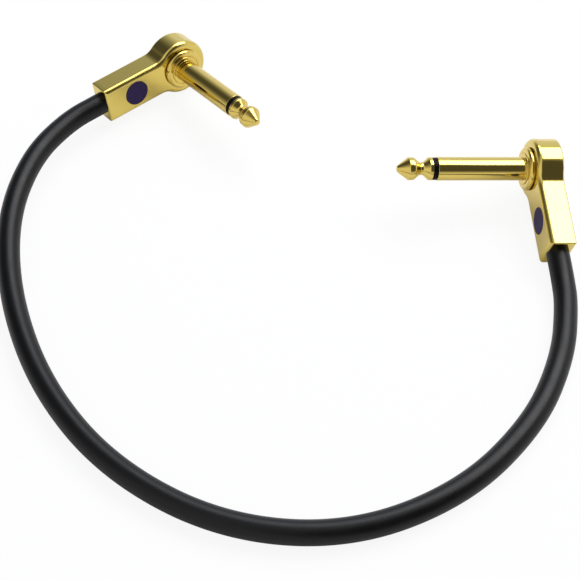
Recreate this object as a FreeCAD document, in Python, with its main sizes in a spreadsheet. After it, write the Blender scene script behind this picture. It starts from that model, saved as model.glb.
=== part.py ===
"""Short instrument patch cable with two flat right-angle quarter-inch plugs.

The cable lies in an open loop on a flat surface, z = 0. The origin is on that
surface, under the middle of the two plugs, +X runs from the left plug to the
right one and +Y points away from the loop.

Each plug is built in a frame of its own: the origin is where the shaft's axis
meets the flat front face, +Z runs along the shaft towards the tip, +X runs
along the tail towards the cable, and the back of the housing is at -Z.
All lengths are in millimetres and all angles in degrees.
"""
import FreeCAD
import Part
import Sketcher

import math
import os

from FreeCAD import Placement, Rotation, Vector

SIZES = {
    # flat housing
    "head_radius": 8.1,
    "tail_width": 10.6,
    "tail_reach": 26.0,
    "waist_radius": 5.0,
    "end_wall": 0.55,
    "front_wall": 1.0,
    "side_wall": 1.4,
    "end_block": 4.0,
    "front_round": 1.3,
    "back_round": 0.45,
    # back cover, let into the rim of the housing
    "cover_thickness": 1.0,
    "cover_rim": 0.7,
    "cover_round": 0.15,
    "fit_gap": 0.05,
    # countersunk cover screws and their bosses
    "screw_radius": 0.6,
    "screw_head_radius": 1.0,
    "screw_margin": 0.1,
    "screw_length": 3.6,
    "screw_hole_spare": 0.3,
    "screw_slot_width": 0.3,
    "screw_slot_depth": 0.25,
    "boss_radius": 1.0,
    "tail_screw_back": 12.4,
    # round badge on the front face
    "badge_radius": 3.65,
    "badge_back": 9.8,
    "badge_sink": 0.25,
    "badge_proud": 0.05,
    # shaft: collar, sleeve, insulating ring
    "sleeve_radius": 3.175,
    "sleeve_bore": 2.25,
    "sleeve_reach": 25.85,
    "spigot_radius": 3.9,
    "spigot_length": 1.8,
    "neck_step": 0.8,
    "neck_height": 0.25,
    "flange_radius": 5.9,
    "flange_height": 1.15,
    "groove_step": 1.5,
    "groove_depth": 0.15,
    "ring_step": 1.7,
    "ring_height": 0.25,
    "flange_round": 0.85,
    "ring_round": 0.2,
    "sleeve_chamfer": 0.1,
    "insulator_step": 0.175,
    "insulator_height": 1.4,
    # tip, turned in one piece with its rod
    "rod_radius": 1.1,
    "tip_base_step": 0.075,
    "tip_base_height": 0.85,
    "tip_neck_radius": 1.7,
    "tip_neck_start": 2.3,
    "tip_neck_end": 3.2,
    "tip_ball_step": 0.095,
    "tip_ball_start": 4.95,
    "tip_ball_end": 6.4,
    "tip_nose_radius": 0.75,
    "tip_length": 9.5,
    "tip_edge_round": 0.3,
    "tip_neck_round": 1.1,
    "tip_ball_round": 1.2,
    "tip_crest_round": 0.4,
    "tip_nose_round": 0.5,
    # parts behind the front wall
    "lug_ring_radius": 4.7,
    "ground_lug_thickness": 0.3,
    "ground_tongue_width": 1.6,
    "ground_tongue_gap": 0.6,
    "washer_radius": 3.6,
    "tip_lug_radius": 2.4,
    "tip_lug_gap": 0.1,
    "tip_lug_thickness": 0.4,
    "tip_tongue_width": 2.0,
    "tip_tongue_reach": 8.2,
    "rivet_radius": 2.1,
    "rivet_height": 0.7,
    "solder_radius": 0.95,
    "solder_length": 2.1,
    "solder_back": 0.5,
    "ground_solder_length": 1.5,
    "ground_solder_width": 1.4,
    # cable, from the outside inwards
    "cable_diameter": 6.1,
    "jacket_wall": 0.95,
    "shield_wall": 0.3,
    "conductor_radius": 0.6,
    "layer_gap": 0.05,
    "jacket_grip": 3.0,
    "shield_inset": 8.2,
    "bared_length": 4.2,
    "ferrule_wall": 0.25,
    "ferrule_length": 3.2,
    # how the plugs lie
    "left_x": -40.46,
    "left_y": 29.54,
    "left_turn_angle": -141.6,
    "left_dip_angle": 1.7,
    "left_roll_angle": -81.3,
    "right_x": 55.51,
    "right_y": -13.9,
    "right_turn_angle": -84.7,
    "right_dip_angle": 12.9,
    "right_roll_angle": 82.7,
    "left_lead": 11.5,
    "right_lead": 7.5,
}

# Sizes that follow from the ones above.
FOLLOWING = {
    "housing_thickness": "cable_diameter + 2 * end_wall",
    "tail_half": "tail_width / 2",
    "back_face": "-housing_thickness",
    "wall_inside": "-front_wall",
    "cable_level": "-housing_thickness / 2",
    "cavity_end": "tail_reach - end_block",
    "ledge": "cover_thickness - housing_thickness",
    "cavity_depth": "housing_thickness - cover_thickness - front_wall",
    "recess_end": "cavity_end + side_wall - cover_rim",
    "cover_inset": "cover_rim + fit_gap",
    "cover_end": "recess_end - fit_gap",
    "screw_hole": "screw_radius + fit_gap",
    "countersink": "screw_head_radius - screw_radius",
    "boss_hole_depth": "screw_length - cover_thickness + screw_hole_spare",
    "screw_inset": "cover_inset + screw_margin + screw_head_radius",
    "head_screw_x": "screw_inset - head_radius",
    "tail_screw_x": "tail_reach - tail_screw_back",
    "tail_screw_high": "tail_half - screw_inset",
    "tail_screw_low": "screw_inset - tail_half",
    "badge_along": "tail_reach - badge_back",
    "badge_seat": "badge_radius + fit_gap",
    "badge_height": "badge_sink + badge_proud",
    "badge_bottom": "-badge_sink",
    "spigot_hole": "spigot_radius + fit_gap",
    "cable_radius": "cable_diameter / 2",
    "cable_bore": "cable_radius + fit_gap",
    "spigot_end": "-spigot_length",
    "neck_radius": "flange_radius - neck_step",
    "groove_radius": "flange_radius - groove_step",
    "ring_radius": "flange_radius - ring_step",
    "insulator_radius": "sleeve_radius - insulator_step",
    "tip_base_radius": "sleeve_radius - tip_base_step",
    "tip_ball_radius": "sleeve_radius - tip_ball_step",
    "flange_top": "neck_height + flange_height",
    "groove_floor": "flange_top - groove_depth",
    "ring_top": "flange_top + ring_height",
    "sleeve_length": "sleeve_reach + spigot_length",
    "tip_start": "sleeve_reach + insulator_height",
    "tip_base_top": "tip_start + tip_base_height",
    "tip_neck_low": "tip_start + tip_neck_start",
    "tip_neck_high": "tip_start + tip_neck_end",
    "tip_ball_low": "tip_start + tip_ball_start",
    "tip_ball_high": "tip_start + tip_ball_end",
    "tip_end": "tip_start + tip_length",
    "rod_hole": "rod_radius + fit_gap",
    "tube_radius": "sleeve_bore - fit_gap",
    "ground_lug_low": "wall_inside - ground_lug_thickness",
    "lock_ring_height": "spigot_length - front_wall - ground_lug_thickness",
    "tip_lug_low": "cable_level + conductor_radius + tip_lug_gap",
    "washer_low": "tip_lug_low + tip_lug_thickness",
    "washer_thickness": "spigot_end - washer_low",
    "rod_end": "tip_lug_low - rivet_height",
    "jacket_inner": "cable_radius - jacket_wall",
    "shield_outer": "jacket_inner - layer_gap",
    "shield_inner": "shield_outer - shield_wall",
    "insulation_outer": "shield_inner - layer_gap",
    "insulation_inner": "conductor_radius + layer_gap",
    "ferrule_inner": "shield_outer + layer_gap",
    "ferrule_outer": "ferrule_inner + ferrule_wall",
    "ferrule_start": "tail_reach - shield_inset",
    "ground_tongue_end": "ferrule_start - ground_tongue_gap",
    "ground_solder_start": "ferrule_start - ground_solder_length",
    "ground_solder_low": "cable_level + insulation_outer + layer_gap",
    "ground_solder_height": "ground_lug_low - ground_solder_low",
    "conductor_start": "tip_tongue_reach - solder_back - solder_length",
    "conductor_inset": "tail_reach - conductor_start",
    "insulation_inset": "conductor_inset - bared_length",
}

# Points that the middle of the cable bends at between the two leads, chosen
# by hand from the left plug round to the right one.
ROUTE = [
    (-80.9, -5.0, 7.0),
    (-85.1, -26.5, 5.5),
    (-81.3, -53.0, 4.0),
    (-70.0, -80.5, 3.2),
    (-51.5, -103.5, 3.1),
    (-25.0, -119.0, 3.1),
    (4.5, -121.5, 3.1),
    (31.5, -110.0, 3.1),
    (50.2, -90.3, 3.1),
    (59.3, -70.5, 3.1),
    (62.2, -54.0, 3.1),
]

# Share of the shorter run that each bend of the cable takes up.
BEND_SHARE = 0.45

# How far two numbers may differ and still be one height or one radius.
SAME = 1e-4

doc = FreeCAD.newDocument("instrument_cable")
sheet = doc.addObject("Spreadsheet::Sheet", "Sizes")
for row, (alias, number) in enumerate(SIZES.items(), start=1):
    sheet.set(f"A{row}", alias.replace("_", " "))
    sheet.set(f"B{row}", str(number))
    sheet.setAlias(f"B{row}", alias)
for row, (alias, formula) in enumerate(FOLLOWING.items(), start=len(SIZES) + 1):
    sheet.set(f"A{row}", alias.replace("_", " "))
    sheet.set(f"B{row}", "=" + formula)
    sheet.setAlias(f"B{row}", alias)
doc.recompute()

nodes = []


def value(alias):
    """Number that the sheet holds under an alias."""
    return float(sheet.get(alias))


def bind(target, path, alias):
    """Tie one property of an object to a cell of the sheet."""
    target.setExpression(path, f"Sizes.{alias}")


def keep(piece, label, placement=None):
    """Name a finished sub-part, put it in its place and list it as a node."""
    piece.Label = label
    if placement is not None:
        piece.Placement = placement
    nodes.append(piece)
    return piece


def new_sketch(body, name, role, offset=None):
    """Sketch on one of the body's own planes, moved along its normal by a cell."""
    sketch = body.newObject("Sketcher::SketchObject", name)
    plane = [entry for entry in body.Origin.OriginFeatures if entry.Role == role][0]
    sketch.AttachmentSupport = [(plane, "")]
    sketch.MapMode = "FlatFace"
    if offset is not None:
        bind(sketch, "AttachmentOffset.Base.z", offset)
    return sketch


def pin_point(sketch, edge, end, across, along):
    """Fix a sketch point at two cells; None puts it on that axis."""
    axes = (("DistanceX", across, -2), ("DistanceY", along, -1))
    for kind, alias, axis in axes:
        if alias is None:
            sketch.addConstraint(Sketcher.Constraint("PointOnObject", edge, end, axis))
        else:
            rule = Sketcher.Constraint(kind, edge, end, value(alias))
            bind(sketch, f"Constraints[{sketch.addConstraint(rule)}]", alias)


def set_radius(sketch, edge, number, expression):
    """Give an arc or circle of a sketch its radius."""
    index = sketch.addConstraint(Sketcher.Constraint("Radius", edge, number))
    sketch.setExpression(f"Constraints[{index}]", expression)


def add_circle(sketch, radius, across, along):
    """Circle with its radius and its middle at cells of the sheet."""
    middle = Vector(value(across) if across else 0, value(along) if along else 0, 0)
    edge = sketch.addGeometry(Part.Circle(middle, Vector(0, 0, 1), value(radius)))
    set_radius(sketch, edge, value(radius), f"Sizes.{radius}")
    if across is None and along is None:
        sketch.addConstraint(Sketcher.Constraint("Coincident", edge, 3, -1, 1))
    else:
        pin_point(sketch, edge, 3, across, along)


def turned(body, name, corners):
    """Solid of revolution about the shaft's axis; corners are (radius, height) cells."""
    sketch = new_sketch(body, name + "Profile", "XZ_Plane")
    spots = []
    for radius, height in corners:
        across = value(radius) if radius else 0
        along = value(height) if height else 0
        spots.append(Vector(across, along, 0))
    count = len(spots)
    for index in range(count):
        sketch.addGeometry(Part.LineSegment(spots[index], spots[(index + 1) % count]))
    for index in range(count):
        joint = Sketcher.Constraint("Coincident", index, 2, (index + 1) % count, 1)
        sketch.addConstraint(joint)
    for index, (radius, height) in enumerate(corners):
        pin_point(sketch, index, 1, radius, height)
    solid = body.newObject("PartDesign::Revolution", name)
    solid.Profile = sketch
    solid.ReferenceAxis = (sketch, ["V_Axis"])
    solid.Angle = 360
    doc.recompute()
    return solid


def outline(body, name, inset, end, offset):
    """Plug outline, drawn in by a cell: round head, hollow waist, straight tail."""
    sketch = new_sketch(body, name, "XY_Plane", offset)
    drawn_in = value(inset) if inset else 0
    less = f" - Sizes.{inset}" if inset else ""
    more = f" + Sizes.{inset}" if inset else ""
    head = value("head_radius") - drawn_in
    waist = value("waist_radius") + drawn_in
    half = value("tail_half") - drawn_in
    stop = value(end)
    waist_y = half + waist
    waist_x = math.sqrt((head + waist) ** 2 - waist_y ** 2)
    lean = math.atan2(waist_y, waist_x)
    up = Vector(0, 0, 1)

    def arc(middle, radius, first, last):
        circle = Part.Circle(middle, up, radius)
        return sketch.addGeometry(Part.ArcOfCircle(circle, first, last))

    def line(x1, y1, x2, y2):
        return sketch.addGeometry(Part.LineSegment(Vector(x1, y1, 0), Vector(x2, y2, 0)))

    round_head = arc(Vector(0, 0, 0), head, lean, 2 * math.pi - lean)
    upper_waist = arc(Vector(waist_x, waist_y, 0), waist, math.pi + lean, 1.5 * math.pi)
    upper_side = line(waist_x, half, stop, half)
    tail_end = line(stop, half, stop, -half)
    lower_side = line(stop, -half, waist_x, -half)
    lower_waist = arc(Vector(waist_x, -waist_y, 0), waist, math.pi / 2, math.pi - lean)

    rules = [
        ("Coincident", round_head, 3, -1, 1),
        ("Tangent", round_head, 1, upper_waist, 1),
        ("Tangent", upper_waist, 2, upper_side, 1),
        ("Coincident", upper_side, 2, tail_end, 1),
        ("Coincident", tail_end, 2, lower_side, 1),
        ("Tangent", lower_side, 2, lower_waist, 1),
        ("Tangent", lower_waist, 2, round_head, 2),
        ("Horizontal", upper_side),
        ("Vertical", tail_end),
        ("Horizontal", lower_side),
    ]
    for rule in rules:
        sketch.addConstraint(Sketcher.Constraint(*rule))
    set_radius(sketch, round_head, head, "Sizes.head_radius" + less)
    for edge in (upper_waist, lower_waist):
        set_radius(sketch, edge, waist, "Sizes.waist_radius" + more)
    upper = sketch.addConstraint(Sketcher.Constraint("DistanceY", upper_side, 1, half))
    sketch.setExpression(f"Constraints[{upper}]", "Sizes.tail_half" + less)
    lower = sketch.addConstraint(Sketcher.Constraint("DistanceY", lower_side, 1, -half))
    sketch.setExpression(f"Constraints[{lower}]", f"-(Sizes.tail_half{less})")
    reach = sketch.addConstraint(Sketcher.Constraint("DistanceX", tail_end, 1, stop))
    bind(sketch, f"Constraints[{reach}]", end)
    return sketch


def extrude(body, name, kind, sketch, length, reverse=False):
    """Pad or pocket from a sketch, by a cell."""
    feature = body.newObject("PartDesign::" + kind, name)
    feature.Profile = sketch
    bind(feature, "Length", length)
    feature.Reversed = reverse
    doc.recompute()
    return feature


def dress(body, name, kind, edges, cell):
    """Fillet or chamfer the named edges of the body's last feature."""
    feature = body.newObject("PartDesign::" + kind, name)
    feature.Base = (edges[0], edges[1])
    bind(feature, "Radius" if kind == "Fillet" else "Size", cell)
    doc.recompute()
    return feature


def edges_at(feature, height):
    """Names of the edges that lie flat at one height."""
    names = []
    for index, edge in enumerate(feature.Shape.Edges, start=1):
        box = edge.BoundBox
        if abs(box.ZMin - height) < SAME and abs(box.ZMax - height) < SAME:
            names.append(f"Edge{index}")
    return feature, names


def circle_at(feature, radius, height):
    """Names of the full circles of one radius at one height."""
    names = []
    for name in edges_at(feature, height)[1]:
        edge = feature.Shape.getElement(name)
        if hasattr(edge.Curve, "Radius") and abs(edge.Curve.Radius - radius) < SAME:
            names.append(name)
    return feature, names


def screw_spots():
    """Cells that give the middle of each cover screw."""
    return [
        ("head_screw_x", None),
        ("tail_screw_x", "tail_screw_high"),
        ("tail_screw_x", "tail_screw_low"),
    ]


def make_housing(side, placement):
    """Cast shell, open at the back, with a solid end block that grips the cable."""
    body = doc.addObject("PartDesign::Body", f"{side}_housing")
    shape = outline(body, "Outline", None, "tail_reach", None)
    blank = extrude(body, "Blank", "Pad", shape, "housing_thickness", reverse=True)
    front = dress(body, "FrontRound", "Fillet", edges_at(blank, 0), "front_round")
    back = edges_at(front, value("back_face"))
    dress(body, "BackRound", "Fillet", back, "back_round")
    recess = outline(body, "RecessOutline", "cover_rim", "recess_end", "back_face")
    extrude(body, "CoverRecess", "Pocket", recess, "cover_thickness", reverse=True)
    inside = outline(body, "CavityOutline", "side_wall", "cavity_end", "ledge")
    extrude(body, "Cavity", "Pocket", inside, "cavity_depth", reverse=True)
    posts = new_sketch(body, "BossCircles", "XY_Plane", "ledge")
    holes = new_sketch(body, "ScrewHoleCircles", "XY_Plane", "ledge")
    for across, along in screw_spots():
        add_circle(posts, "boss_radius", across, along)
        add_circle(holes, "screw_hole", across, along)
    extrude(body, "Bosses", "Pad", posts, "cavity_depth")
    extrude(body, "ScrewHoles", "Pocket", holes, "boss_hole_depth", reverse=True)
    seat = new_sketch(body, "SpigotCircle", "XY_Plane")
    add_circle(seat, "spigot_hole", None, None)
    extrude(body, "SpigotHole", "Pocket", seat, "front_wall")
    badge = new_sketch(body, "BadgeCircle", "XY_Plane")
    add_circle(badge, "badge_seat", "badge_along", None)
    extrude(body, "BadgeSeat", "Pocket", badge, "badge_sink")
    bore = new_sketch(body, "BoreCircle", "YZ_Plane", "tail_reach")
    add_circle(bore, "cable_bore", None, "cable_level")
    extrude(body, "CableBore", "Pocket", bore, "end_block")
    keep(body, f"{side}_housing", placement)


def make_cover(side, placement):
    """Flat plate that closes the back, flush in the rim, held by three screws."""
    body = doc.addObject("PartDesign::Body", f"{side}_back_cover")
    shape = outline(body, "Outline", "cover_inset", "cover_end", "back_face")
    plate = extrude(body, "Plate", "Pad", shape, "cover_thickness")
    rounded = edges_at(plate, value("back_face"))
    dress(body, "OuterRound", "Fillet", rounded, "cover_round")
    holes = new_sketch(body, "ScrewHoleCircles", "XY_Plane", "back_face")
    for across, along in screw_spots():
        add_circle(holes, "screw_hole", across, along)
    drilled = extrude(body, "ScrewHoles", "Pocket", holes, "cover_thickness", reverse=True)
    mouths = circle_at(drilled, value("screw_hole"), value("back_face"))
    dress(body, "Countersinks", "Chamfer", mouths, "countersink")
    keep(body, f"{side}_back_cover", placement)


def make_screws(side, placement):
    """Three alike slotted screws with countersunk heads, flush with the cover."""
    label = f"{side}_cover_screws"
    screws = []
    for number, (across, along) in enumerate(screw_spots(), start=1):
        name = f"{label}_{number}"
        shank = doc.addObject("Part::Cylinder", name + "_shank")
        bind(shank, "Radius", "screw_radius")
        bind(shank, "Height", "screw_length")
        cone = doc.addObject("Part::Cone", name + "_cone")
        bind(cone, "Radius1", "screw_head_radius")
        bind(cone, "Radius2", "screw_radius")
        bind(cone, "Height", "countersink")
        slot = doc.addObject("Part::Box", name + "_slot")
        slot.setExpression("Length", "2 * Sizes.screw_head_radius")
        bind(slot, "Width", "screw_slot_width")
        bind(slot, "Height", "screw_slot_depth")
        middle = f"Sizes.{across}"
        slot.setExpression("Placement.Base.x", f"{middle} - Sizes.screw_head_radius")
        level = f"Sizes.{along}" if along else "0"
        slot.setExpression("Placement.Base.y", f"{level} - Sizes.screw_slot_width / 2")
        bind(slot, "Placement.Base.z", "back_face")
        for piece in (shank, cone):
            piece.setExpression("Placement.Base.x", middle)
            piece.setExpression("Placement.Base.y", level)
            bind(piece, "Placement.Base.z", "back_face")
        whole = doc.addObject("Part::Fuse", name + "_whole")
        whole.Base = shank
        whole.Tool = cone
        screw = doc.addObject("Part::Cut", name)
        screw.Base = whole
        screw.Tool = slot
        screws.append(screw)
    group = doc.addObject("Part::Compound", label)
    group.Links = screws
    keep(group, label, placement)


def make_sleeve(side, placement):
    """Turned sleeve: spigot through the wall, stepped collar, long bored barrel."""
    body = doc.addObject("PartDesign::Body", f"{side}_sleeve")
    blank = turned(body, "Turned", [
        ("sleeve_bore", "spigot_end"),
        ("spigot_radius", "spigot_end"),
        ("spigot_radius", None),
        ("neck_radius", None),
        ("neck_radius", "neck_height"),
        ("flange_radius", "neck_height"),
        ("flange_radius", "flange_top"),
        ("groove_radius", "flange_top"),
        ("groove_radius", "groove_floor"),
        ("ring_radius", "groove_floor"),
        ("ring_radius", "ring_top"),
        ("sleeve_radius", "ring_top"),
        ("sleeve_radius", "sleeve_reach"),
        ("sleeve_bore", "sleeve_reach"),
    ])
    rim = circle_at(blank, value("flange_radius"), value("flange_top"))
    stage = dress(body, "FlangeRound", "Fillet", rim, "flange_round")
    rim = circle_at(stage, value("ring_radius"), value("ring_top"))
    stage = dress(body, "RingRound", "Fillet", rim, "ring_round")
    rim = circle_at(stage, value("sleeve_radius"), value("sleeve_reach"))
    dress(body, "FrontChamfer", "Chamfer", rim, "sleeve_chamfer")
    keep(body, f"{side}_sleeve", placement)


def make_tip(side, placement):
    """Turned tip: short base, waisted neck, cone-shaped ball, and the rod behind it."""
    body = doc.addObject("PartDesign::Body", f"{side}_tip")
    blank = turned(body, "Turned", [
        (None, "rod_end"),
        ("rod_radius", "rod_end"),
        ("rod_radius", "tip_start"),
        ("tip_base_radius", "tip_start"),
        ("tip_base_radius", "tip_base_top"),
        ("tip_neck_radius", "tip_neck_low"),
        ("tip_neck_radius", "tip_neck_high"),
        ("tip_ball_radius", "tip_ball_low"),
        ("tip_ball_radius", "tip_ball_high"),
        ("tip_nose_radius", "tip_end"),
        (None, "tip_end"),
    ])
    rounds = [
        ("BaseRound", "tip_base_radius", "tip_base_top", "tip_edge_round"),
        ("NeckLowRound", "tip_neck_radius", "tip_neck_low", "tip_neck_round"),
        ("NeckHighRound", "tip_neck_radius", "tip_neck_high", "tip_neck_round"),
        ("BallLowRound", "tip_ball_radius", "tip_ball_low", "tip_ball_round"),
        ("BallHighRound", "tip_ball_radius", "tip_ball_high", "tip_crest_round"),
        ("NoseRound", "tip_nose_radius", "tip_end", "tip_nose_round"),
    ]
    stage = blank
    for name, radius, height, cell in rounds:
        edge = circle_at(stage, value(radius), value(height))
        stage = dress(body, name, "Fillet", edge, cell)
    keep(body, f"{side}_tip", placement)


def cylinder(name, radius, height, bottom):
    """Cylinder about the shaft's axis, from one cell up by another."""
    piece = doc.addObject("Part::Cylinder", name)
    bind(piece, "Radius", radius)
    bind(piece, "Height", height)
    bind(piece, "Placement.Base.z", bottom)
    return piece


def cut(name, base, tool):
    """One piece less another."""
    piece = doc.addObject("Part::Cut", name)
    piece.Base = base
    piece.Tool = tool
    return piece


def make_ring(label, outer, inner, height, bottom, placement):
    """Flat ring, washer or tube about the shaft's axis."""
    body = cylinder(label + "_outside", outer, height, bottom)
    hole = cylinder(label + "_hole", inner, height, bottom)
    keep(cut(label, body, hole), label, placement)


def make_lug(label, radius, hole, thickness, bottom, width, start, reach, placement):
    """Flat eyelet with a tongue that points along the tail."""
    eye = cylinder(label + "_eye", radius, thickness, bottom)
    tongue = doc.addObject("Part::Box", label + "_tongue")
    bind(tongue, "Width", width)
    bind(tongue, "Height", thickness)
    tongue.setExpression("Length", f"Sizes.{reach} - Sizes.{start}")
    bind(tongue, "Placement.Base.x", start)
    tongue.setExpression("Placement.Base.y", f"-Sizes.{width} / 2")
    bind(tongue, "Placement.Base.z", bottom)
    whole = doc.addObject("Part::Fuse", label + "_whole")
    whole.Base = eye
    whole.Tool = tongue
    opening = cylinder(label + "_hole", hole, thickness, bottom)
    keep(cut(label, whole, opening), label, placement)


def along_tail(name, radius, length, start):
    """Cylinder about the cable's axis inside the housing."""
    piece = doc.addObject("Part::Cylinder", name)
    piece.Placement.Rotation = Rotation(Vector(0, 1, 0), 90)
    bind(piece, "Radius", radius)
    bind(piece, "Height", length)
    bind(piece, "Placement.Base.x", start)
    bind(piece, "Placement.Base.z", "cable_level")
    return piece


def make_ferrule(side, placement):
    """Crimped tube round the end of the cable's shield."""
    label = f"{side}_shield_ferrule"
    outside = along_tail(label + "_outside", "ferrule_outer", "ferrule_length", "ferrule_start")
    hole = along_tail(label + "_hole", "ferrule_inner", "ferrule_length", "ferrule_start")
    keep(cut(label, outside, hole), label, placement)


def make_tip_solder(side, placement):
    """Solder round the bared conductor, flat where it lies on the tip lug."""
    label = f"{side}_tip_solder"
    bead = along_tail(label + "_bead", "solder_radius", "solder_length", "conductor_start")
    wire = along_tail(label + "_wire", "conductor_radius", "solder_length", "conductor_start")
    lug = doc.addObject("Part::Box", label + "_lug")
    bind(lug, "Length", "tail_reach")
    lug.setExpression("Width", "2 * Sizes.solder_radius")
    bind(lug, "Height", "housing_thickness")
    lug.setExpression("Placement.Base.y", "-Sizes.solder_radius")
    bind(lug, "Placement.Base.z", "tip_lug_low")
    flat = cut(label + "_flat", bead, lug)
    keep(cut(label, flat, wire), label, placement)


def make_ground_solder(side, placement):
    """Solder that joins the ground lug's tongue to the end of the ferrule."""
    label = f"{side}_ground_solder"
    joint = doc.addObject("Part::Box", label + "_block")
    bind(joint, "Length", "ground_solder_length")
    bind(joint, "Width", "ground_solder_width")
    bind(joint, "Height", "ground_solder_height")
    bind(joint, "Placement.Base.x", "ground_solder_start")
    joint.setExpression("Placement.Base.y", "-Sizes.ground_solder_width / 2")
    bind(joint, "Placement.Base.z", "ground_solder_low")
    holder = doc.addObject("Part::Compound", label)
    holder.Links = [joint]
    keep(holder, label, placement)


def make_badge(side, placement):
    """Plain coloured disc let into the front face of the tail."""
    label = f"{side}_badge"
    disc = cylinder(label + "_disc", "badge_radius", "badge_height", "badge_bottom")
    bind(disc, "Placement.Base.x", "badge_along")
    holder = doc.addObject("Part::Compound", label)
    holder.Links = [disc]
    keep(holder, label, placement)


def plug_placement(side):
    """Where one plug lies: turned about the vertical, dipped, and rolled on its side."""
    angles = [value(f"{side}_{turn}_angle") for turn in ("turn", "dip", "roll")]
    place = Vector(value(f"{side}_x"), value(f"{side}_y"), 0)
    return Placement(place, Rotation(*angles))


def seat_on_surface(placement, housing):
    """Lift a plug until its housing just stands on the surface."""
    lying = housing.copy()
    lying.Placement = placement
    low = lying.optimalBoundingBox(False).ZMin
    return Placement(placement.Base - Vector(0, 0, low), placement.Rotation)


def make_plug(side):
    """Every piece of one plug. Gives the plug's placement back."""
    make_housing(side, Placement())
    housing = nodes[-1]
    placement = seat_on_surface(plug_placement(side), housing.Shape)
    housing.Placement = placement
    make_cover(side, placement)
    make_screws(side, placement)
    make_sleeve(side, placement)
    make_tip(side, placement)
    make_ring(f"{side}_insulating_ring", "insulator_radius", "rod_hole",
              "insulator_height", "sleeve_reach", placement)
    make_ring(f"{side}_insulating_tube", "tube_radius", "rod_hole",
              "sleeve_length", "spigot_end", placement)
    make_lug(f"{side}_ground_lug", "lug_ring_radius", "spigot_hole",
             "ground_lug_thickness", "ground_lug_low", "ground_tongue_width",
             "spigot_radius", "ground_tongue_end", placement)
    make_ring(f"{side}_lock_ring", "lug_ring_radius", "spigot_hole",
              "lock_ring_height", "spigot_end", placement)
    make_ring(f"{side}_rear_washer", "washer_radius", "rod_hole",
              "washer_thickness", "washer_low", placement)
    make_lug(f"{side}_tip_lug", "tip_lug_radius", "rod_hole",
             "tip_lug_thickness", "tip_lug_low", "tip_tongue_width",
             "rod_radius", "tip_tongue_reach", placement)
    make_ring(f"{side}_tip_rivet", "rivet_radius", "rod_hole",
              "rivet_height", "rod_end", placement)
    make_ferrule(side, placement)
    make_tip_solder(side, placement)
    make_ground_solder(side, placement)
    make_badge(side, placement)
    return placement


def free_route(left, right):
    """Points from one cable exit to the other, each lead square to its plug."""
    outlet = Vector(value("tail_reach"), 0, value("cable_level"))
    points = []
    for placement, side in ((left, "left"), (right, "right")):
        lead = outlet + Vector(value(f"{side}_lead"), 0, 0)
        points.append([placement.multVec(outlet), placement.multVec(lead)])
    middle = [Vector(*spot) for spot in ROUTE]
    return points[0] + middle + points[1][::-1]


def bend(before, corner, after, shorter):
    """Tangent arc that replaces one corner of the route."""
    back = (before - corner).normalize()
    ahead = (after - corner).normalize()
    turn = math.pi - back.getAngle(ahead)
    radius = BEND_SHARE * shorter / math.tan(turn / 2)
    reach = BEND_SHARE * shorter
    inward = (back + ahead).normalize()
    middle = corner + inward * (math.hypot(radius, reach) - radius)
    return corner + back * reach, middle, corner + ahead * reach, radius, turn


def route_wire(points, inset):
    """Straight runs joined by tangent arcs, carried on into both plugs by the inset."""
    runs = [(after - before).Length for before, after in zip(points, points[1:])]
    edges = []
    radii = []
    here = points[0] + (points[0] - points[1]).normalize() * inset
    for index in range(1, len(points) - 1):
        shorter = min(runs[index - 1], runs[index])
        corner = bend(points[index - 1], points[index], points[index + 1], shorter)
        start, middle, stop, radius, turn = corner
        edges.append(Part.LineSegment(here, start).toShape())
        edges.append(Part.Arc(start, middle, stop).toShape())
        radii.append(radius)
        here = stop
    finish = points[-1] + (points[-1] - points[-2]).normalize() * inset
    edges.append(Part.LineSegment(here, finish).toShape())
    return Part.Wire(edges), runs, radii


def sweep(name, radius, path, start, direction):
    """Round solid of one radius along the whole path."""
    circle = doc.addObject("Part::Circle", name + "_section")
    bind(circle, "Radius", radius)
    circle.Placement = Placement(start, Rotation(Vector(0, 0, 1), direction))
    solid = doc.addObject("Part::Sweep", name)
    solid.Sections = [circle]
    count = len(path.Shape.Edges)
    solid.Spine = (path, [f"Edge{index}" for index in range(1, count + 1)])
    solid.Solid = True
    solid.Frenet = False
    return solid


def make_layer(label, points, outer, inner, inset):
    """One layer of the cable, from inside the left plug to inside the right one."""
    wire = route_wire(points, value(inset))[0]
    path = doc.addObject("Part::Feature", label + "_path")
    path.Shape = wire
    direction = points[1] - points[0]
    start = wire.OrderedVertexes[0].Point
    if inner is None:
        layer = sweep(label, outer, path, start, direction)
        hollow = 0
    else:
        outside = sweep(label + "_outside", outer, path, start, direction)
        inside = sweep(label + "_inside", inner, path, start, direction)
        layer = cut(label, outside, inside)
        hollow = value(inner)
    keep(layer, label)
    doc.recompute()
    section = math.pi * (value(outer) ** 2 - hollow ** 2)
    print(f"{label}: path {wire.Length:.1f} mm, volume {layer.Shape.Volume:.1f} mm3,",
          f"section times length {section * wire.Length:.1f} mm3")


def make_cable(left, right):
    """Jacket, braided shield, insulation and conductor along one route."""
    points = free_route(left, right)
    wire, runs, radii = route_wire(points, 0)
    print("free route points:")
    for point in points:
        print(f"  ({point.x:.2f}, {point.y:.2f}, {point.z:.2f})")
    print("runs:", " ".join(f"{run:.1f}" for run in runs))
    print("bend radii:", " ".join(f"{radius:.1f}" for radius in radii))
    print(f"cable between the plugs: {wire.Length:.1f} mm")
    make_layer("cable_jacket", points, "cable_radius", "jacket_inner", "jacket_grip")
    make_layer("cable_shield", points, "shield_outer", "shield_inner", "shield_inset")
    make_layer("cable_insulation", points, "insulation_outer", "insulation_inner",
               "insulation_inset")
    make_layer("cable_conductor", points, "conductor_radius", None, "conductor_inset")


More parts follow.
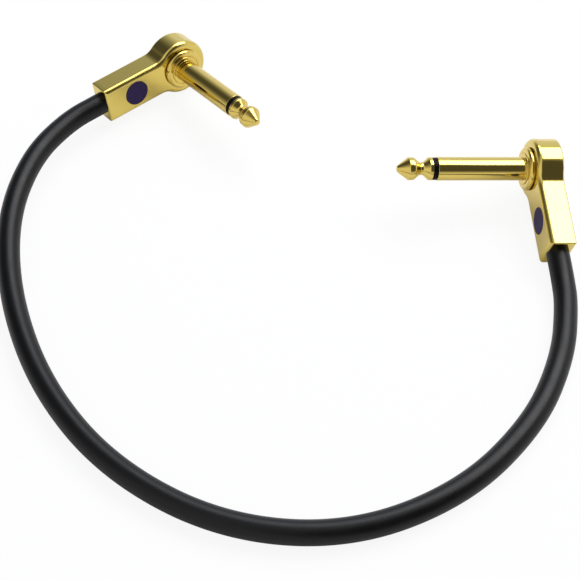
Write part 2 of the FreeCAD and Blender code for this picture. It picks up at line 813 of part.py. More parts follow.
def check_document():
    """Stop if any object failed or any sub-part is empty or broken."""
    doc.recompute()
    for entry in doc.Objects:
        if "Invalid" in entry.State or "Error" in entry.State:
            raise RuntimeError(f"{entry.Name} failed: {entry.State}")
    for piece in nodes:
        shape = piece.Shape
        if shape.isNull() or not shape.isValid() or shape.Volume <= 0:
            raise RuntimeError(f"{piece.Label} has no valid solid")


def export_parts():
    """Write each sub-part to a file of its own."""
    os.makedirs("parts", exist_ok=True)
    for piece in nodes:
        piece.Shape.exportStep(f"parts/{piece.Label}.step")
        box = piece.Shape.BoundBox
        print(f"{piece.Label}: {len(piece.Shape.Solids)} solid(s),",
              f"{piece.Shape.Volume:.2f} mm3,",
              f"z {box.ZMin:.2f} to {box.ZMax:.2f}")


left_placement = make_plug("left")
right_placement = make_plug("right")
make_cable(left_placement, right_placement)
check_document()
export_parts()
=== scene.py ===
"""Looks of a short instrument cable with two flat right-angle plugs.

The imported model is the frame, in metres. Each plug is worked out in a frame of
its own, in millimetres: the shaft's axis meets the flat front face at the
origin, +Z runs to the tip, +X runs along the tail to the cable, and the back of
the housing is at -Z. plug_to_world() carries it to where the plug lies.
"""

import math

import bmesh
import bpy
import numpy as np
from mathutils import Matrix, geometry


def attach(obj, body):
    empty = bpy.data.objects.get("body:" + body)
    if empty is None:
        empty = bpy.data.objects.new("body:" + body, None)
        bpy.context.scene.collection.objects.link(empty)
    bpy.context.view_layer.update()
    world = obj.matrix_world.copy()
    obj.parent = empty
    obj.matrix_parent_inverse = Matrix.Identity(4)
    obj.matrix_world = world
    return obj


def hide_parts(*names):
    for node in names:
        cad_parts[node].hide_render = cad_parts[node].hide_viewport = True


MM = 0.001
SIDES = ("left", "right")

# How each plug lies: its origin in millimetres, then its turn about the
# vertical, its dip and its roll in degrees.
PLUG_ORIGIN = {"left": (-40.46, 29.54, 9.033), "right": (55.51, -13.9, 11.768)}
PLUG_ANGLES = {"left": (-141.6, 1.7, -81.3), "right": (-84.7, 12.9, 82.7)}

# Housing, in millimetres. FACE_MARGIN lies between its front round and its flat
# face, and a corner of its tail is rounded by LEAST_CORNER at least.
HEAD_RADIUS = 8.1
WAIST_RADIUS = 5.0
TAIL_HALF = 5.3
TAIL_REACH = 26.0
THICKNESS = 7.2
FRONT_ROUND = 1.3
BACK_ROUND = 0.45
CORNER_ROUND = 0.3
LEAST_CORNER = 0.02
FACE_MARGIN = 0.1
FRONT_WALL = 1.0
SIDE_WALL = 1.4
END_BLOCK = 4.0
COVER_RIM = 0.7
COVER_THICKNESS = 1.0
LEDGE = COVER_THICKNESS - THICKNESS
CAVITY_END = TAIL_REACH - END_BLOCK
RECESS_END = CAVITY_END + SIDE_WALL - COVER_RIM
FIT_GAP = 0.05

# Plain disc on the housing, in millimetres. Its shoulder is a share of its radius.
BADGE_ALONG = 16.2
BADGE_RADIUS = 3.65
BADGE_SINK = 0.25
BADGE_PROUD = 0.05
BADGE_RIM = 0.03
BADGE_RIM_ROUND = 0.04
BADGE_SHOULDER = 0.55
BADGE_SHOULDER_DROP = 0.004
BADGE_SHOULDER_ROUND = 0.5

# Sleeve with its collar, in millimetres: radii and heights, then its rounds.
SPIGOT_RADIUS = 3.9
SPIGOT_END = -1.8
NECK_RADIUS = 5.1
NECK_HEIGHT = 0.25
FLANGE_RADIUS = 5.9
FLANGE_TOP = 1.4
GROOVE_RADIUS = 4.4
GROOVE_FLOOR = 1.25
RING_RADIUS = 4.2
RING_TOP = 1.65
SLEEVE_RADIUS = 3.175
SLEEVE_BORE = 2.25
SLEEVE_REACH = 25.85
NECK_ROUND = 0.06
FLANGE_LOW_ROUND = 0.1
FLANGE_ROUND = 0.85
GROOVE_LIP_ROUND = 0.08
GROOVE_ROUND = 0.05
RING_ROUND = 0.2
SLEEVE_ROOT_ROUND = 0.12
SLEEVE_END_ROUND = 0.1

# Black insulating ring, in millimetres.
INSULATOR_RADIUS = 3.0
INSULATOR_HEIGHT = 1.4
INSULATOR_ROUND = 0.06

# Tip with its rod, in millimetres. The tip's heights count from TIP_START.
ROD_RADIUS = 1.1
ROD_END = -3.6
TIP_START = SLEEVE_REACH + INSULATOR_HEIGHT
BASE_RADIUS = 3.1
BASE_TOP = 0.85
TIP_NECK_RADIUS = 1.7
TIP_NECK_LOW = 2.3
TIP_NECK_HIGH = 3.2
BALL_RADIUS = 3.08
BALL_LOW = 4.95
BALL_HIGH = 6.4
NOSE_RADIUS = 0.75
NOSE_END = 9.5
ROD_ROUND = 0.1
TIP_ROOT_ROUND = 0.05
BASE_ROUND = 0.3
TIP_NECK_ROUND = 1.1
BALL_ROUND = 1.2
CREST_ROUND = 0.4
NOSE_ROUND = 0.5

# Cable, in metres: its exit from the left plug, and the points that its middle
# bends at, from inside the left plug round to inside the right one.
CABLE_RADIUS = 0.00305
LEFT_EXIT = (-0.06302, 0.0162, 0.00772)
CABLE_ROUTE = [
    (-0.06068, 0.01806, 0.00781),
    LEFT_EXIT,
    (-0.07203, 0.00906, 0.00738),
    (-0.0809, -0.005, 0.007),
    (-0.0851, -0.0265, 0.0055),
    (-0.0813, -0.053, 0.004),
    (-0.07, -0.0805, 0.0032),
    (-0.0515, -0.1035, 0.0031),
    (-0.025, -0.119, 0.0031),
    (0.0045, -0.1215, 0.0031),
    (0.0315, -0.11, 0.0031),
    (0.0502, -0.0903, 0.0031),
    (0.0593, -0.0705, 0.0031),
    (0.0622, -0.054, 0.0031),
    (0.06207, -0.04598, 0.00384),
    (0.0614, -0.0387, 0.00552),
    (0.06113, -0.03579, 0.00619),
]

# How finely the surfaces are divided: points on each line, arc or circle, and
# steps of the route's spline from one of its points to the next.
TURNED_POINTS = 128
HOLE_POINTS = 72
HEAD_POINTS = 110
WAIST_POINTS = 22
CORNER_POINTS = 7
LINE_POINTS = 12
QUARTER_POINTS = 11
CABLE_POINTS = 48
ROUTE_STEPS = 24

# An arc of a profile takes one step for ARC_STEP degrees, and LEAST_STEPS at
# least. A guard point lies GUARD millimetres past each end of it, on the flat
# there, or at GUARD_SHARE of that flat where it is short.
ARC_STEP = 8
LEAST_STEPS = 4
GUARD = 0.04
GUARD_SHARE = 0.3

# Points closer than WELD metres are one, and edges past SHARP degrees stay sharp.
WELD = 2e-7
SHARP = 38.0

# Camera: place and near limit in metres, tilt in degrees, lens and sensor in
# millimetres.
CAMERA_PLACE = (-0.0091, -0.2787, 0.2855)
CAMERA_TILT = 39.1
CAMERA_LENS = 86.9
CAMERA_SENSOR = 36.0
CAMERA_NEAR = 0.01

# Noise of the finish group: how much detail each texture has, the scale of its
# patches, and the range of their values that is spread over the roughness.
WAVE_DETAIL = 1.0
GRAIN_DETAIL = 3.0
PATCH_DETAIL = 5.0
PATCH_SCALE = 260.0
PATCH_RANGE = (0.35, 0.7)

# Finishes. The tones are the light and the dark patches; waves and grain are
# scales per metre, and share is how much of the relief is grain; gloss is the
# least and the most roughness; bump is the relief's strength and its distance.
FINISHES = {
    "cast_gold": dict(
        tones=((0.70, 0.545, 0.145), (0.65, 0.50, 0.120)), metallic=1.0, specular=0.5,
        waves=120.0, grain=2600.0, share=0.01, gloss=(0.07, 0.12), bump=(0.05, 0.0003)),
    "turned_gold": dict(
        tones=((0.71, 0.54, 0.140), (0.67, 0.50, 0.120)), metallic=1.0, specular=0.5,
        waves=160.0, grain=3200.0, share=0.0, gloss=(0.05, 0.08), bump=(0.02, 0.0002)),
    "black_insulator": dict(
        tones=((0.0045, 0.003, 0.004), (0.003, 0.002, 0.0028)), metallic=0.0, specular=0.07,
        waves=300.0, grain=2400.0, share=0.4, gloss=(0.34, 0.46), bump=(0.05, 0.0001)),
    "white_insulator": dict(
        tones=((0.80, 0.79, 0.74), (0.70, 0.69, 0.64)), metallic=0.0, specular=0.5,
        waves=300.0, grain=2400.0, share=0.4, gloss=(0.38, 0.5), bump=(0.2, 0.0001)),
    "bare_brass": dict(
        tones=((0.66, 0.46, 0.19), (0.52, 0.35, 0.13)), metallic=1.0, specular=0.5,
        waves=300.0, grain=3000.0, share=0.5, gloss=(0.22, 0.36), bump=(0.3, 0.0001)),
    "solder": dict(
        tones=((0.58, 0.58, 0.60), (0.44, 0.44, 0.46)), metallic=1.0, specular=0.5,
        waves=700.0, grain=3000.0, share=0.3, gloss=(0.24, 0.4), bump=(0.5, 0.0002)),
    "badge_enamel": dict(
        tones=((0.036, 0.024, 0.082), (0.031, 0.021, 0.070)), metallic=0.0, specular=0.04,
        waves=200.0, grain=2000.0, share=0.1, gloss=(0.30, 0.40), bump=(0.05, 0.0001)),
    "jacket": dict(
        tones=((0.0028, 0.0028, 0.0030), (0.0020, 0.0020, 0.0022)), metallic=0.0, specular=0.24,
        waves=420.0, grain=3400.0, share=0.75, gloss=(0.33, 0.40), bump=(0.15, 0.0001)),
}

# Finish of each solid that stays as the frame has it, for both plugs.
CAD_FINISH = {
    "back_cover": "cast_gold", "cover_screws": "turned_gold",
    "insulating_tube": "white_insulator", "rear_washer": "white_insulator",
    "ground_lug": "bare_brass", "lock_ring": "bare_brass", "tip_lug": "bare_brass",
    "tip_rivet": "bare_brass", "shield_ferrule": "bare_brass",
    "tip_solder": "solder", "ground_solder": "solder",
}

# Floor: half its side in metres, its tone and roughness, and the share of plain
# white that each kind of ray sees in place of it.
FLOOR_REACH = 3.0
FLOOR_TONE = 0.84
FLOOR_ROUGHNESS = 0.9
FLOOR_WHITE = (("Is Camera Ray", 0.9), ("Is Glossy Ray", 0.1), ("Is Transmission Ray", 0.9))

# White tent: its level, and its dark gaps. A gap has the azimuth and elevation of
# its middle, the angle from there up to which it is darkest and the angle at which
# it ends, all in degrees. The cool tint starts at the cosine COOL_START from
# COOL_MIDDLE and is full there.
TENT_LEVEL = 0.95
GAP_LEVEL = 0.1
TENT_GAPS = ((-56, 36, 10, 50), (140, 42, 24, 46))
COOL_MIDDLE = (-10, 30)
COOL_START = 0.3
PLAIN_WHITE = (1.0, 1.0, 1.0, 1.0)
COOL_WHITE = (0.95, 1.01, 1.2, 1.0)

# Softboxes: azimuth and elevation in degrees, distance and size in metres, then
# radiance.
SOFTBOXES = {
    "key_softbox": (56, 54, 0.9, (0.62, 0.48), 4.9),
    "top_softbox": (8, 57, 0.9, (0.40, 0.60), 3.0),
}

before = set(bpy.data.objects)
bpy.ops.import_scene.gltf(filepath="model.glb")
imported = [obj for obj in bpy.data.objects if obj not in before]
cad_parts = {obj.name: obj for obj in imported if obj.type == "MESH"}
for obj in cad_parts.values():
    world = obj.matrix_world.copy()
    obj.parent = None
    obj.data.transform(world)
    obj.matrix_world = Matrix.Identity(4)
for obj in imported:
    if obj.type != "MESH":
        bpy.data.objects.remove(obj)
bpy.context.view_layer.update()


# Camera.

def make_camera():
    """Camera at the photograph's place: above and in front, looking down."""
    lens = bpy.data.cameras.new("camera")
    lens.sensor_width = CAMERA_SENSOR
    lens.lens = CAMERA_LENS
    lens.clip_start = CAMERA_NEAR
    camera = bpy.data.objects.new("camera", lens)
    camera.location = CAMERA_PLACE
    camera.rotation_euler = (math.radians(CAMERA_TILT), 0.0, 0.0)
    bpy.context.scene.collection.objects.link(camera)
    bpy.context.scene.camera = camera


# Mesh helpers.

def plug_to_world(points, side):
    """Plug millimetres to metres: roll about X, dip about Y, turn about Z, move."""
    turn, dip, roll = (math.radians(angle) for angle in PLUG_ANGLES[side])
    about_z = np.array([[math.cos(turn), -math.sin(turn), 0],
                        [math.sin(turn), math.cos(turn), 0], [0, 0, 1]])
    about_y = np.array([[math.cos(dip), 0, math.sin(dip)], [0, 1, 0],
                        [-math.sin(dip), 0, math.cos(dip)]])
    about_x = np.array([[1, 0, 0], [0, math.cos(roll), -math.sin(roll)],
                        [0, math.sin(roll), math.cos(roll)]])
    lie = about_z @ about_y @ about_x
    return (points @ lie.T + np.array(PLUG_ORIGIN[side])) * MM


def grid_faces(rows, columns, wrap_rows=False):
    """Quads of a grid whose columns close on themselves, and its rows too if told."""
    last = rows if wrap_rows else rows - 1
    row, column = np.meshgrid(np.arange(last), np.arange(columns), indexing="ij")
    after = (column + 1) % columns
    below = (row + 1) % rows
    corners = [row * columns + column, row * columns + after,
               below * columns + after, below * columns + column]
    return np.stack(corners, axis=-1).reshape(-1, 4)


def make_piece(name, patches):
    """One mesh from patches of (points in metres, faces), welded, facing outwards."""
    points, faces, count = [], [], 0
    for patch_points, patch_faces in patches:
        points.append(patch_points)
        faces += [[index + count for index in face] for face in patch_faces]
        count += len(patch_points)
    mesh = bpy.data.meshes.new(name)
    mesh.from_pydata(np.concatenate(points).tolist(), [], faces)
    shell = bmesh.new()
    shell.from_mesh(mesh)
    bmesh.ops.remove_doubles(shell, verts=shell.verts, dist=WELD)
    bmesh.ops.recalc_face_normals(shell, faces=shell.faces)
    shell.to_mesh(mesh)
    shell.free()
    mesh.shade_smooth()
    mesh.set_sharp_from_angle(angle=math.radians(SHARP))
    piece = bpy.data.objects.new(name, mesh)
    bpy.context.scene.collection.objects.link(piece)
    return piece


def rounded(corners):
    """Profile through corners (across, along, radius), each replaced by a tangent arc.

    With half the turn h at a corner, the arc starts radius * tan(h) before it and
    ends as far after it; guard points beside each arc keep the flats flat.
    """
    corners = np.array(corners, float)
    spots = [corners[0, :2]]
    for before, here, after in zip(corners[:-2], corners[1:-1], corners[2:]):
        radius = here[2]
        if radius <= 0:
            spots.append(here[:2])
            continue
        back = before[:2] - here[:2]
        ahead = after[:2] - here[:2]
        run_back, run_ahead = np.hypot(*back), np.hypot(*ahead)
        back, ahead = back / run_back, ahead / run_ahead
        turn = math.pi - math.acos(np.clip(back @ ahead, -1, 1))
        reach = radius * math.tan(turn / 2)
        inward = (back + ahead) / np.hypot(*(back + ahead))
        middle = here[:2] + inward * math.hypot(radius, reach)
        steps = max(LEAST_STEPS, int(math.degrees(turn) / ARC_STEP))
        share = np.linspace(0, 1, steps + 1)[:, None]
        first = here[:2] + back * reach - middle
        last = here[:2] + ahead * reach - middle
        arc_spots = (np.sin((1 - share) * turn) * first
                     + np.sin(share * turn) * last) / math.sin(turn)
        guard_back = min(GUARD, GUARD_SHARE * max(run_back - reach, 0))
        guard_ahead = min(GUARD, GUARD_SHARE * max(run_ahead - reach, 0))
        spots.append(here[:2] + back * (reach + guard_back))
        spots += list(middle + arc_spots)
        spots.append(here[:2] + ahead * (reach + guard_ahead))
    spots.append(corners[-1, :2])
    return np.array(spots)


def turned(profile, side, closed=False):
    """Patch (r cos a, r sin a, h): each (r, h) of the profile goes round the shaft."""
    angle = np.linspace(0, 2 * math.pi, TURNED_POINTS, endpoint=False)
    radius, height = profile[:, :1], profile[:, 1:]
    points = np.stack([radius * np.cos(angle), radius * np.sin(angle),
                       height + 0 * angle], axis=-1).reshape(-1, 3)
    faces = grid_faces(len(profile), TURNED_POINTS, wrap_rows=closed).tolist()
    return plug_to_world(points, side), faces


# Plug: turned pieces.

def make_sleeve(side):
    """Sleeve: the section of its spigot, collar, barrel and bore, turned."""
    profile = rounded([
        (SLEEVE_BORE, SPIGOT_END, 0), (SPIGOT_RADIUS, SPIGOT_END, 0), (SPIGOT_RADIUS, 0.0, 0),
        (NECK_RADIUS, 0.0, 0), (NECK_RADIUS, NECK_HEIGHT, NECK_ROUND),
        (FLANGE_RADIUS, NECK_HEIGHT, FLANGE_LOW_ROUND), (FLANGE_RADIUS, FLANGE_TOP, FLANGE_ROUND),
        (GROOVE_RADIUS, FLANGE_TOP, GROOVE_LIP_ROUND), (GROOVE_RADIUS, GROOVE_FLOOR, GROOVE_ROUND),
        (RING_RADIUS, GROOVE_FLOOR, GROOVE_ROUND), (RING_RADIUS, RING_TOP, RING_ROUND),
        (SLEEVE_RADIUS, RING_TOP, SLEEVE_ROOT_ROUND),
        (SLEEVE_RADIUS, SLEEVE_REACH, SLEEVE_END_ROUND), (SLEEVE_BORE, SLEEVE_REACH, 0),
    ])
    piece = make_piece(f"{side}_shaft_sleeve", [turned(profile, side, closed=True)])
    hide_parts(f"{side}_sleeve")
    return piece


def make_tip(side):
    """Tip: the section of its rod, short base, neck, ball and blunt nose, turned."""
    profile = rounded([
        (0.0, ROD_END, 0), (ROD_RADIUS, ROD_END, ROD_ROUND),
        (ROD_RADIUS, TIP_START, TIP_ROOT_ROUND), (BASE_RADIUS, TIP_START, TIP_ROOT_ROUND),
        (BASE_RADIUS, TIP_START + BASE_TOP, BASE_ROUND),
        (TIP_NECK_RADIUS, TIP_START + TIP_NECK_LOW, TIP_NECK_ROUND),
        (TIP_NECK_RADIUS, TIP_START + TIP_NECK_HIGH, TIP_NECK_ROUND),
        (BALL_RADIUS, TIP_START + BALL_LOW, BALL_ROUND),
        (BALL_RADIUS, TIP_START + BALL_HIGH, CREST_ROUND),
        (NOSE_RADIUS, TIP_START + NOSE_END, NOSE_ROUND), (0.0, TIP_START + NOSE_END, 0),
    ])
    piece = make_piece(f"{side}_shaft_tip", [turned(profile, side)])
    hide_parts(f"{side}_tip")
    return piece


def make_insulating_ring(side):
    """Black ring between sleeve and tip: a rectangular section, turned."""
    hole = ROD_RADIUS + FIT_GAP
    profile = rounded([
        (hole, SLEEVE_REACH, 0), (INSULATOR_RADIUS, SLEEVE_REACH, INSULATOR_ROUND),
        (INSULATOR_RADIUS, TIP_START, INSULATOR_ROUND), (hole, TIP_START, 0),
    ])
    piece = make_piece(f"{side}_shaft_insulator", [turned(profile, side, closed=True)])
    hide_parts(f"{side}_insulating_ring")
    return piece


def make_badge(side):
    """Plain disc: a section with a rounded rim that rises to its middle, turned."""
    profile = rounded([
        (0.0, -BADGE_SINK, 0), (BADGE_RADIUS, -BADGE_SINK, 0),
        (BADGE_RADIUS, BADGE_RIM, BADGE_RIM_ROUND),
        (BADGE_RADIUS * BADGE_SHOULDER, BADGE_PROUD - BADGE_SHOULDER_DROP, BADGE_SHOULDER_ROUND),
        (0.0, BADGE_PROUD, 0),
    ])
    points, faces = turned(profile, side)
    shift = plug_to_world(np.array([[BADGE_ALONG, 0, 0]]), side)
    shift = shift - plug_to_world(np.zeros((1, 3)), side)
    piece = make_piece(f"{side}_plain_badge", [(points + shift, faces)])
    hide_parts(f"{side}_badge")
    return piece


# Plug: housing.

def arc(x, y, radius, first, last, count):
    """Points (x + r cos a, y + r sin a), with a from the first angle to the last."""
    angle = np.linspace(first, last, count)
    return np.stack([x + radius * np.cos(angle), y + radius * np.sin(angle)], axis=1)


def outline(inset, end):
    """Plug outline drawn in by inset: round head, hollow waists, straight tail.

    The head's circle and the waist's circles touch where the line between their
    middles crosses them, so both middles stay put at every inset.
    """
    head = HEAD_RADIUS - inset
    waist = WAIST_RADIUS + inset
    half = TAIL_HALF - inset
    corner = max(CORNER_ROUND - inset, LEAST_CORNER)
    waist_y = TAIL_HALF + WAIST_RADIUS
    waist_x = math.sqrt((HEAD_RADIUS + WAIST_RADIUS) ** 2 - waist_y ** 2)
    lean = math.atan2(waist_y, waist_x)
    side_x = np.linspace(waist_x, end - corner, LINE_POINTS)[1:-1]
    end_y = np.linspace(half - corner, corner - half, LINE_POINTS)[1:-1]
    upper = np.concatenate([
        arc(waist_x, waist_y, waist, math.pi + lean, 1.5 * math.pi, WAIST_POINTS)[1:],
        np.column_stack([side_x, np.full(len(side_x), half)]),
        arc(end - corner, half - corner, corner, math.pi / 2, 0.0, CORNER_POINTS),
    ])
    tail_end = np.column_stack([np.full(len(end_y), end), end_y])
    lower = upper[::-1] * (1, -1)
    round_head = arc(0, 0, head, 2 * math.pi - lean, lean, HEAD_POINTS)
    return np.concatenate([upper, tail_end, lower, round_head])


def circle(x, radius):
    """Ring of points (x + r cos a, r sin a)."""
    angle = np.linspace(0, 2 * math.pi, HOLE_POINTS, endpoint=False)
    return np.stack([x + radius * np.cos(angle), radius * np.sin(angle)], axis=1)


def flat(rings, height):
    """Flat face between an outer ring and holes, all at one height."""
    loops = [[(x, y, 0.0) for x, y in ring] for ring in rings]
    faces = [list(face) for face in geometry.tessellate_polygon(loops)]
    points = np.concatenate(rings)
    return np.column_stack([points, np.full(len(points), height)]), faces


def stack_rings(rings, heights):
    """Patch that joins rings with as many points each, one above the other."""
    columns = len(rings[0])
    points = [np.column_stack([ring, np.full(columns, height)])
              for ring, height in zip(rings, heights)]
    return np.concatenate(points), grid_faces(len(rings), columns).tolist()


def make_housing(side):
    """Housing shell: the outline carried along its section from front to cavity.

    The section is (inset, height, end of the tail) in a row: a quarter circle of
    FRONT_ROUND, one of BACK_ROUND, the recess for the cover, its ledge, the cavity.
    """
    quarter = np.linspace(0, math.pi / 2, QUARTER_POINTS)
    outside = [(FRONT_ROUND + FACE_MARGIN, 0.0)]
    outside += [(FRONT_ROUND * (1 - math.sin(angle)), FRONT_ROUND * (math.cos(angle) - 1))
                for angle in quarter]
    outside += [(0.0, -FRONT_ROUND - GUARD), (0.0, -THICKNESS + BACK_ROUND + GUARD)]
    outside += [(BACK_ROUND * (1 - math.cos(angle)),
                 -THICKNESS + BACK_ROUND * (1 - math.sin(angle))) for angle in quarter[::2]]
    outside.append((BACK_ROUND + GUARD, -THICKNESS))
    section = [(inset, height, TAIL_REACH - inset) for inset, height in outside]
    section += [
        (COVER_RIM - GUARD, -THICKNESS, RECESS_END + GUARD),
        (COVER_RIM, -THICKNESS + GUARD, RECESS_END),
        (COVER_RIM, LEDGE, RECESS_END),
        (SIDE_WALL, LEDGE, CAVITY_END),
        (SIDE_WALL, -FRONT_WALL, CAVITY_END),
    ]
    rings = [outline(inset, end) for inset, height, end in section]
    heights = [height for inset, height, end in section]
    seat = circle(BADGE_ALONG, BADGE_RADIUS + FIT_GAP)
    hole = circle(0.0, SPIGOT_RADIUS + FIT_GAP)
    patches = [
        stack_rings(rings, heights),
        flat([rings[0], seat, hole], 0.0),
        flat([rings[-1], hole], -FRONT_WALL),
        stack_rings([hole, hole], [0.0, -FRONT_WALL]),
        stack_rings([seat, seat], [0.0, -BADGE_SINK]),
        flat([seat], -BADGE_SINK),
    ]
    patches = [(plug_to_world(points, side), faces) for points, faces in patches]
    piece = make_piece(f"{side}_plug_housing", patches)
    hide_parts(f"{side}_housing")
    return piece


# Cable.

def cable_path():
    """Points of the smooth line whose control points are the route."""
    line = bpy.data.curves.new("cable_line", "CURVE")
    line.dimensions = "3D"
    line.resolution_u = ROUTE_STEPS
    spline = line.splines.new("NURBS")
    spline.points.add(len(CABLE_ROUTE) - 1)
    spline.points.foreach_set("co", [c for spot in CABLE_ROUTE for c in (*spot, 1.0)])
    spline.order_u = 3
    spline.use_endpoint_u = True
    holder = bpy.data.objects.new("cable_line", line)
    mesh = bpy.data.meshes.new_from_object(holder)
    path = np.zeros(len(mesh.vertices) * 3)
    mesh.vertices.foreach_get("co", path)
    bpy.data.objects.remove(holder)
    bpy.data.meshes.remove(mesh)
    return path.reshape(-1, 3)


def make_cable():
    """Round jacket: path + r (cos a * aside + sin a * upward), its ends closed."""
    path = cable_path()
    along = np.gradient(path, axis=0)
    along /= np.linalg.norm(along, axis=1)[:, None]
    aside = np.cross(along, (0.0, 0.0, 1.0))
    aside /= np.linalg.norm(aside, axis=1)[:, None]
    upward = np.cross(aside, along)
    angle = np.linspace(0, 2 * math.pi, CABLE_POINTS, endpoint=False)[None, :, None]
    tube = (path[:, None] + CABLE_RADIUS * (np.cos(angle) * aside[:, None]
                                            + np.sin(angle) * upward[:, None]))
    faces = grid_faces(len(path), CABLE_POINTS).tolist()
    faces.append(list(range(CABLE_POINTS)))
    faces.append([(len(path) - 1) * CABLE_POINTS + index for index in range(CABLE_POINTS)])
    piece = make_piece("cable_round_jacket", [(tube.reshape(-1, 3), faces)])
    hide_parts("cable_jacket", "cable_shield", "cable_insulation", "cable_conductor")
    return piece


# Materials.

def shader_tree(name):
    """New material, its node tree and its Principled shader."""
    material = bpy.data.materials.new(name)
    material.use_nodes = True
    tree = material.node_tree
    return material, tree, tree.nodes["Principled BSDF"]


def add_node(tree, kind, values=None):
    """New node of a kind, with the values of its sockets by their names or numbers."""
    node = tree.nodes.new(kind)
    for key, value in (values or {}).items():
        node.inputs[key].default_value = value
    return node


def finish_group():
    """Surface of every finish: slow waves, fine grain and patchy roughness.

    Height is waves * (1 - share) + grain * share, and Roughness runs from Smoothest
    to Roughest with the patches.
    """
    group = bpy.data.node_groups.new("surface finish", "ShaderNodeTree")
    for name in ("Wave size", "Grain size", "Grain share", "Smoothest", "Roughest"):
        group.interface.new_socket(name, in_out="INPUT", socket_type="NodeSocketFloat")
    for name in ("Roughness", "Height", "Patches"):
        group.interface.new_socket(name, in_out="OUTPUT", socket_type="NodeSocketFloat")
    link = group.links.new
    inlet = add_node(group, "NodeGroupInput")
    outlet = add_node(group, "NodeGroupOutput")
    place = add_node(group, "ShaderNodeTexCoord")
    wave = add_node(group, "ShaderNodeTexNoise", {"Detail": WAVE_DETAIL})
    grain = add_node(group, "ShaderNodeTexNoise", {"Detail": GRAIN_DETAIL})
    patches = add_node(group, "ShaderNodeTexNoise",
                       {"Detail": PATCH_DETAIL, "Scale": PATCH_SCALE})
    mixed = add_node(group, "ShaderNodeMix")
    spread = add_node(group, "ShaderNodeMapRange",
                      {"From Min": PATCH_RANGE[0], "From Max": PATCH_RANGE[1]})
    for texture in (wave, grain, patches):
        link(place.outputs["Object"], texture.inputs["Vector"])
    link(inlet.outputs["Wave size"], wave.inputs["Scale"])
    link(inlet.outputs["Grain size"], grain.inputs["Scale"])
    link(inlet.outputs["Grain share"], mixed.inputs["Factor"])
    link(wave.outputs["Fac"], mixed.inputs["A"])
    link(grain.outputs["Fac"], mixed.inputs["B"])
    link(patches.outputs["Fac"], spread.inputs["Value"])
    link(inlet.outputs["Smoothest"], spread.inputs["To Min"])
    link(inlet.outputs["Roughest"], spread.inputs["To Max"])
    link(spread.outputs["Result"], outlet.inputs["Roughness"])
    link(mixed.outputs["Result"], outlet.inputs["Height"])
    link(patches.outputs["Fac"], outlet.inputs["Patches"])
    return group


def finish_material(name, group, look):
    """Procedural material: two tones in slow patches, the group for gloss and relief."""
    material, tree, shader = shader_tree(name)
    link = tree.links.new
    surface = tree.nodes.new("ShaderNodeGroup")
    surface.node_tree = group
    for key, value in (("Wave size", look["waves"]), ("Grain size", look["grain"]),
                       ("Grain share", look["share"]), ("Smoothest", look["gloss"][0]),
                       ("Roughest", look["gloss"][1])):
        surface.inputs[key].default_value = value
    light, dark = look["tones"]
    tones = tree.nodes.new("ShaderNodeMix")
    tones.data_type = "RGBA"
    tones.inputs["A"].default_value = (*dark, 1.0)
    tones.inputs["B"].default_value = (*light, 1.0)
    relief = add_node(tree, "ShaderNodeBump",
                      {"Strength": look["bump"][0], "Distance": look["bump"][1]})
    link(surface.outputs["Patches"], tones.inputs["Factor"])
    link(tones.outputs["Result"], shader.inputs["Base Color"])
    link(surface.outputs["Roughness"], shader.inputs["Roughness"])
    link(surface.outputs["Height"], relief.inputs["Height"])
    link(relief.outputs["Normal"], shader.inputs["Normal"])
    shader.inputs["Metallic"].default_value = look["metallic"]
    shader.inputs["Specular IOR Level"].default_value = look["specular"]
    return material


# Stage.

def make_floor():
    """Pale floor that looks white to the camera and keeps a soft shadow."""
    mesh = bpy.data.meshes.new("floor")
    mesh.from_pydata([(-FLOOR_REACH, -FLOOR_REACH, 0), (FLOOR_REACH, -FLOOR_REACH, 0),
                      (FLOOR_REACH, FLOOR_REACH, 0), (-FLOOR_REACH, FLOOR_REACH, 0)],
                     [], [(0, 1, 2, 3)])
    floor = bpy.data.objects.new("floor", mesh)
    bpy.context.scene.collection.objects.link(floor)
    material, tree, shader = shader_tree("pale_floor")
    shader.inputs["Base Color"].default_value = (FLOOR_TONE, FLOOR_TONE, FLOOR_TONE, 1)
    shader.inputs["Roughness"].default_value = FLOOR_ROUGHNESS
    shader.inputs["Specular IOR Level"].default_value = 0.0
    glow = add_node(tree, "ShaderNodeEmission")
    path = add_node(tree, "ShaderNodeLightPath")
    link = tree.links.new
    share = None
    for ray, amount in FLOOR_WHITE:
        total = add_node(tree, "ShaderNodeMath", {1: amount, 2: 0.0})
        total.operation = "MULTIPLY_ADD"
        link(path.outputs[ray], total.inputs[0])
        if share is not None:
            link(share, total.inputs[2])
        share = total.outputs[0]
    mixed = add_node(tree, "ShaderNodeMixShader")
    link(share, mixed.inputs["Fac"])
    link(shader.outputs["BSDF"], mixed.inputs[1])
    link(glow.outputs["Emission"], mixed.inputs[2])
    link(mixed.outputs["Shader"], tree.nodes["Material Output"].inputs["Surface"])
    mesh.materials.append(material)


def compass(azimuth, elevation):
    """Direction from degrees: azimuth 0 is +Y and 90 is +X, elevation is up."""
    turn, rise = math.radians(azimuth), math.radians(elevation)
    return (math.cos(rise) * math.sin(turn), math.cos(rise) * math.cos(turn), math.sin(rise))


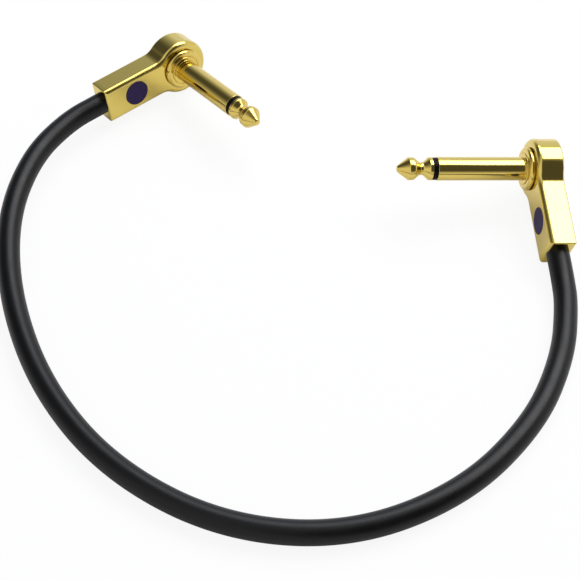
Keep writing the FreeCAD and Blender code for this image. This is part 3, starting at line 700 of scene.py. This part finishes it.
def make_world():
    """White tent with two dark gaps, one on the left and one behind the camera.

    Each gap darkens with the cosine of the angle from its middle, between its
    inner and outer angle. Towards the back the white turns a little cooler.
    """
    world = bpy.data.worlds.new("studio")
    bpy.context.scene.world = world
    world.use_nodes = True
    tree = world.node_tree
    link = tree.links.new
    ground = tree.nodes["Background"]
    place = add_node(tree, "ShaderNodeTexCoord")

    def nearness(azimuth, elevation):
        """Cosine of the angle between the view and a compass direction."""
        node = tree.nodes.new("ShaderNodeVectorMath")
        node.operation = "DOT_PRODUCT"
        node.inputs[1].default_value = compass(azimuth, elevation)
        link(place.outputs["Generated"], node.inputs[0])
        return node.outputs["Value"]

    level = None
    for azimuth, elevation, inner, outer in TENT_GAPS:
        gap = add_node(tree, "ShaderNodeMapRange", {
            "From Min": math.cos(math.radians(outer)), "From Max": math.cos(math.radians(inner)),
            "To Min": 1.0, "To Max": GAP_LEVEL})
        link(nearness(azimuth, elevation), gap.inputs["Value"])
        product = add_node(tree, "ShaderNodeMath", {0: TENT_LEVEL})
        product.operation = "MULTIPLY"
        if level is not None:
            link(level, product.inputs[0])
        link(gap.outputs["Result"], product.inputs[1])
        level = product.outputs[0]
    link(level, ground.inputs["Strength"])
    cooler = add_node(tree, "ShaderNodeMapRange", {"From Min": COOL_START})
    tint = tree.nodes.new("ShaderNodeMix")
    tint.data_type = "RGBA"
    tint.inputs["A"].default_value = PLAIN_WHITE
    tint.inputs["B"].default_value = COOL_WHITE
    link(nearness(*COOL_MIDDLE), cooler.inputs["Value"])
    link(cooler.outputs["Result"], tint.inputs["Factor"])
    link(tint.outputs["Result"], ground.inputs["Color"])


def make_softbox(name, azimuth, elevation, distance, size, radiance):
    """Rectangular lamp that faces the origin from a compass direction.

    Its power is its radiance times pi times its area.
    """
    data = bpy.data.lights.new(name, "AREA")
    data.shape = "RECTANGLE"
    data.size, data.size_y = size
    data.energy = radiance * math.pi * size[0] * size[1]
    lamp = bpy.data.objects.new(name, data)
    bpy.context.scene.collection.objects.link(lamp)
    away = np.array(compass(azimuth, elevation))
    lamp.location = away * distance
    turn = math.atan2(away[0], -away[1])
    lamp.rotation_euler = (math.radians(90 - elevation), 0, turn)


# Build.

make_camera()
group = finish_group()
materials = {name: finish_material(name, group, look) for name, look in FINISHES.items()}

cable = make_cable()
cable.data.materials.append(materials["jacket"])
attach(cable, "root")

MAKERS = (
    (make_housing, "cast_gold", "gold_housing"),
    (make_sleeve, "turned_gold", "gold_shaft"),
    (make_tip, "turned_gold", "gold_shaft"),
    (make_insulating_ring, "black_insulator", "black_insulator"),
    (make_badge, "badge_enamel", "badge"),
)
for side in SIDES:
    for maker, material, slot in MAKERS:
        piece = maker(side)
        piece.data.materials.append(materials[material])
        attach(piece, "root")
    for ending, material in CAD_FINISH.items():
        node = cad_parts[f"{side}_{ending}"]
        node.data.materials.clear()
        node.data.materials.append(materials[material])

make_floor()
make_world()
for name, placing in SOFTBOXES.items():
    make_softbox(name, *placing)
bpy.context.scene.view_settings.view_transform = "Standard"
